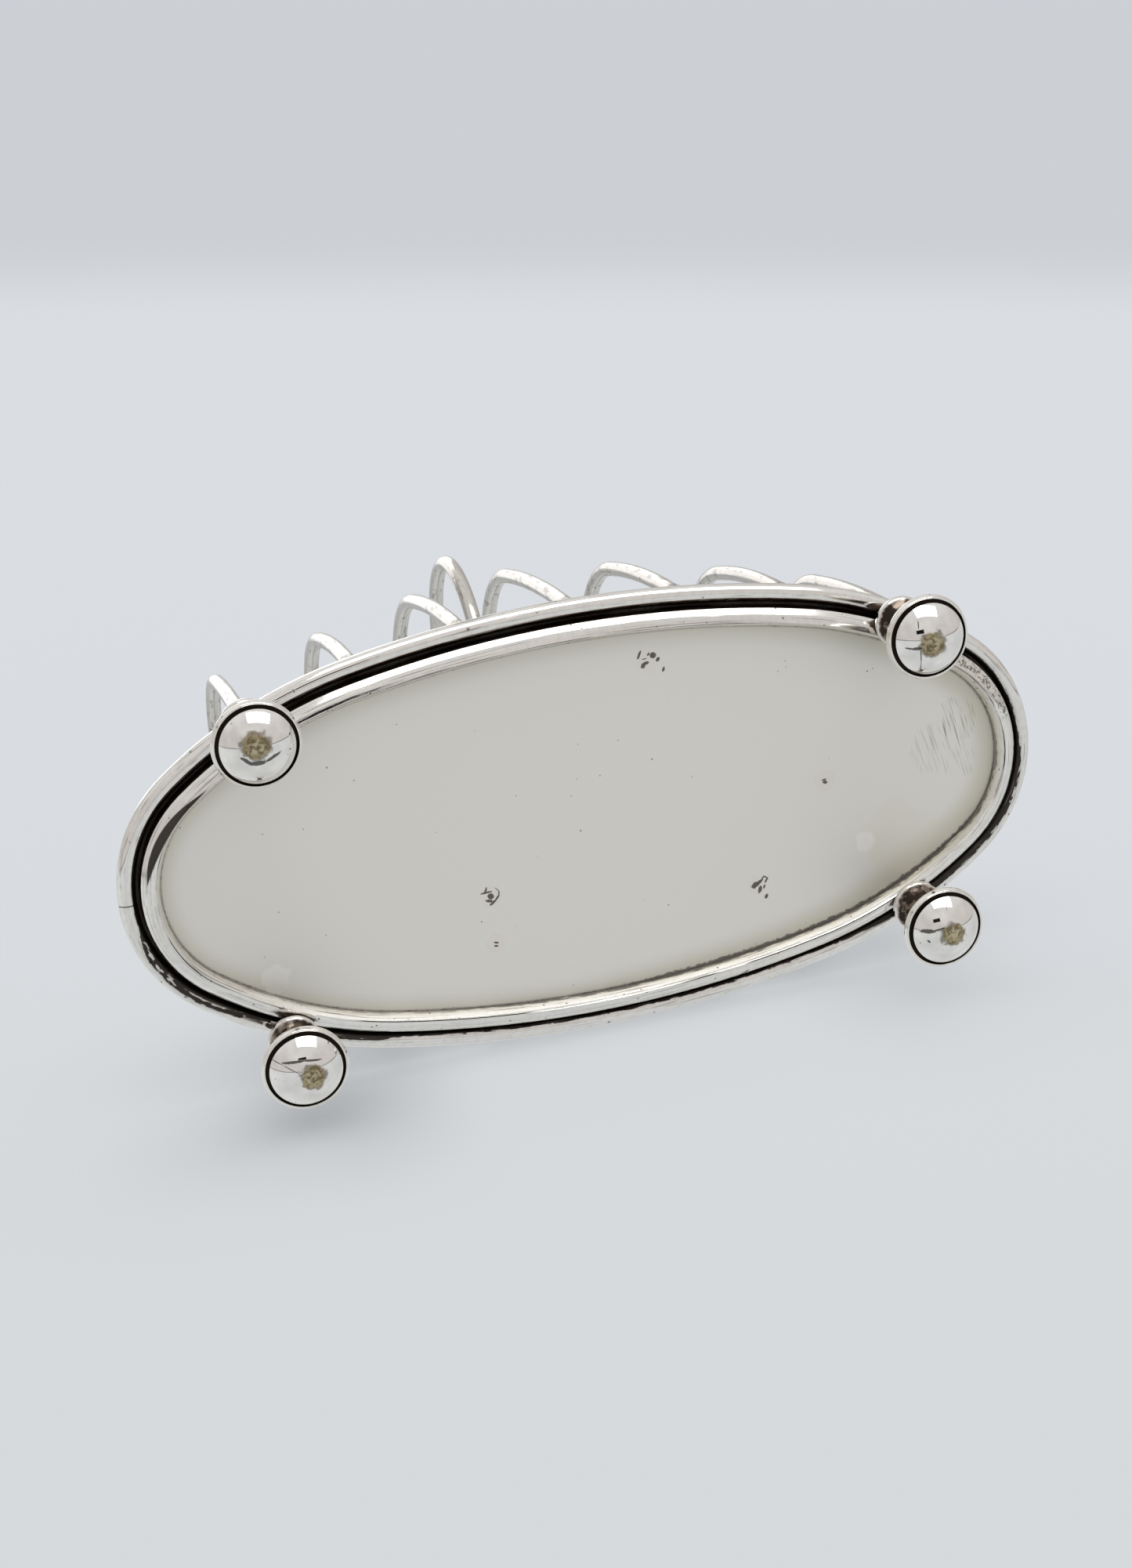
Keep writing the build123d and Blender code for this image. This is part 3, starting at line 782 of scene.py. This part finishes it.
def add_camera():
    look = CAMERA_LOOK.normalized()
    right = CAMERA_DOWN.cross(look).normalized()
    up = right.cross(look)
    turn = Matrix((right, up, -look)).transposed()
    data = bpy.data.cameras.new("camera")
    data.lens = CAMERA_LENS
    data.sensor_width = 36.0
    data.clip_start = 0.01
    data.clip_end = 50.0
    camera = bpy.data.objects.new("camera", data)
    camera.matrix_world = Matrix.Translation(CAMERA_PLACE) @ turn.to_4x4()
    bpy.context.scene.collection.objects.link(camera)
    bpy.context.scene.camera = camera


add_camera()

# ---- Stage --------------------------------------------------------------------------

def only_for(obj, **seen):
    """Turns off every kind of ray that isn't named."""
    for kind in ("camera", "diffuse", "glossy", "transmission", "volume_scatter", "shadow"):
        setattr(obj, f"visible_{kind}", seen.get(kind, False))


def add_plane(name, centre, across, along, material):
    """A rectangle given by its centre and two half-length vectors. It faces across x along."""
    centre, across, along = Vector(centre), Vector(across), Vector(along)
    mesh = bpy.data.meshes.new(name)
    corners = [centre - across - along, centre + across - along,
               centre + across + along, centre - across + along]
    mesh.from_pydata(corners, [], [(0, 1, 2, 3)])
    mesh.materials.append(material)
    obj = bpy.data.objects.new(name, mesh)
    bpy.context.scene.collection.objects.link(obj)
    return obj


def one_sided(name, tint):
    """Paper that shows only its front, so that it never hides the rack from behind."""
    g = Surface(name)
    paper = g.node("ShaderNodeBsdfDiffuse", Color=(*tint, 1.0))
    clear = g.node("ShaderNodeBsdfTransparent")
    return g.show(g.mix_shaders(g.back, paper.outputs[0], clear.outputs[0]))


def flat_black(name):
    """A card that reflects nothing, for the dark shapes that show in polished silver."""
    g = Surface(name)
    card = g.node("ShaderNodeBsdfPrincipled", Base_Color=(0.008, 0.007, 0.006, 1.0), Roughness=1.0,
                  Specular_IOR_Level=0.0)
    return g.show(card.outputs[0])


def soft_shade(name):
    """Clear, but darker where the rack is close to it. It shows only from the front."""
    g = Surface(name)
    near = g.node("ShaderNodeAmbientOcclusion", {"samples": 16}, Distance=0.060)
    shut = g.ramp(near.outputs["AO"], 0.35, 0.97, 0.50, 0.0, "LINEAR")
    # in front of the rack it is weakest at the middle of the rack's length, where the light reaches the
    # sheet, and strongest at the +X end
    x, _, z = g.parts(g.place)
    ends = g.math("MAXIMUM", g.ramp(x, 0.025, 0.055, 0.10, 1.0), g.ramp(x, -0.055, -0.025, 0.45, 0.10))
    weight = g.ramp(z, 0.010, 0.036, ends, 0.9)
    # it fades out before the edges of the plane
    weight = g.math("MULTIPLY", weight, g.step(z, 0.085, 0.036))
    weight = g.math("MULTIPLY", weight, g.step(g.math("ABSOLUTE", x), 0.175, 0.115))
    lit = g.math("SUBTRACT", 1.0, g.math("MULTIPLY", shut, weight))
    clear = g.node("ShaderNodeBsdfTransparent", Color=g.math("MAXIMUM", lit, g.back))
    return g.show(clear.outputs[0])


FLOOR_HALF = 4.0
FLOOR_TINT = (0.72, 0.74, 0.76)
floor = add_plane("floor", (0, 0, 0), (FLOOR_HALF, 0, 0), (0, FLOOR_HALF, 0),
                  one_sided("floor_paper", FLOOR_TINT))
only_for(floor, camera=True)

# The shade on the sheet that the rack's side rests on in the low view, just clear of the ring
SHADE_GAP = 0.0004
shade = add_plane("shade", (0, ring_low.y - SHADE_GAP, -0.02), (0, 0, -0.14), (-0.20, 0, 0),
                  soft_shade("soft_shade"))
only_for(shade, camera=True)


def add_light(name, place, target, size, brightness):
    """An area light of this size, this bright to look at."""
    width, height = size
    data = bpy.data.lights.new(name, "AREA")
    data.shape = "RECTANGLE"
    data.size = width
    data.size_y = height
    data.energy = brightness * math.pi * width * height
    light = bpy.data.objects.new(name, data)
    light.location = place
    light.rotation_mode = "QUATERNION"
    light.rotation_quaternion = (Vector(target) - Vector(place)).to_track_quat("-Z", "Y")
    bpy.context.scene.collection.objects.link(light)


add_light("softbox", (-0.20, 0.93, -0.28), (0, 0, 0.03), (0.90, 0.52), 2.6)
add_light("top_light", (0.25, 0.35, 1.30), (0, 0, 0.05), (1.0, 1.0), 1.0)

# The photographer's phone, which shows as a small dark shape in the polished domes
phone = add_plane("phone_card", CAMERA_PLACE + Vector((0, 0.02, 0)), (0.080, 0, 0), (0, 0.036, 0.014),
                  flat_black("black_card"))
only_for(phone, glossy=True)

ROOM = colour(0.60, 0.575, 0.56)
TABLE = colour(0.665, 0.68, 0.685)
CEILING = colour(0.74, 0.73, 0.72)
HORIZON = colour(0.20, 0.18, 0.17)
SHEET_FAR = colour(0.605, 0.625, 0.66)
SHEET_MIDDLE = colour(0.70, 0.725, 0.762)
SHEET_NEAR = colour(0.675, 0.70, 0.715)
# how much the far edge of the sheet is out of line with X
SHEET_SKEW = -0.106


def add_world():
    """Even pale light from a table, a room and a ceiling, and a plain sheet as the backdrop."""
    world = bpy.data.worlds.new("studio")
    world.use_nodes = True
    g = Nodes(world.node_tree)
    place = g.node("ShaderNodeTexCoord").outputs["Generated"]
    across, up, out_front = g.parts(place)
    room = g.blend(g.step(up, 0.25, 0.85), ROOM, CEILING)
    around = g.blend(g.step(up, -0.09, -0.05), TABLE, room)
    line = g.math("MULTIPLY", g.step(up, -0.095, -0.075), g.step(up, -0.045, -0.065))
    around = g.blend(g.math("MULTIPLY", line, g.step(out_front, 0.35, -0.1)), around, HORIZON)
    cloud = g.node("ShaderNodeTexNoise", Vector=place, Scale=1.3, Detail=1.0)
    strength = g.math("MULTIPLY_ADD", cloud.outputs[0], 0.5, 0.74)
    shine = g.node("ShaderNodeBackground", Color=around, Strength=strength)
    level = g.math("MULTIPLY_ADD", across, SHEET_SKEW, up)
    sheet = g.blend(g.step(level, -0.55, -0.15), SHEET_NEAR, SHEET_MIDDLE)
    seen = g.node("ShaderNodeBackground", Color=g.blend(g.step(level, -0.105, -0.070), sheet, SHEET_FAR))
    straight = g.node("ShaderNodeLightPath").outputs["Is Camera Ray"]
    g.node("ShaderNodeOutputWorld", Surface=g.mix_shaders(straight, shine.outputs[0], seen.outputs[0]))
    bpy.context.scene.world = world


add_world()
bpy.context.scene.view_settings.view_transform = "Standard"
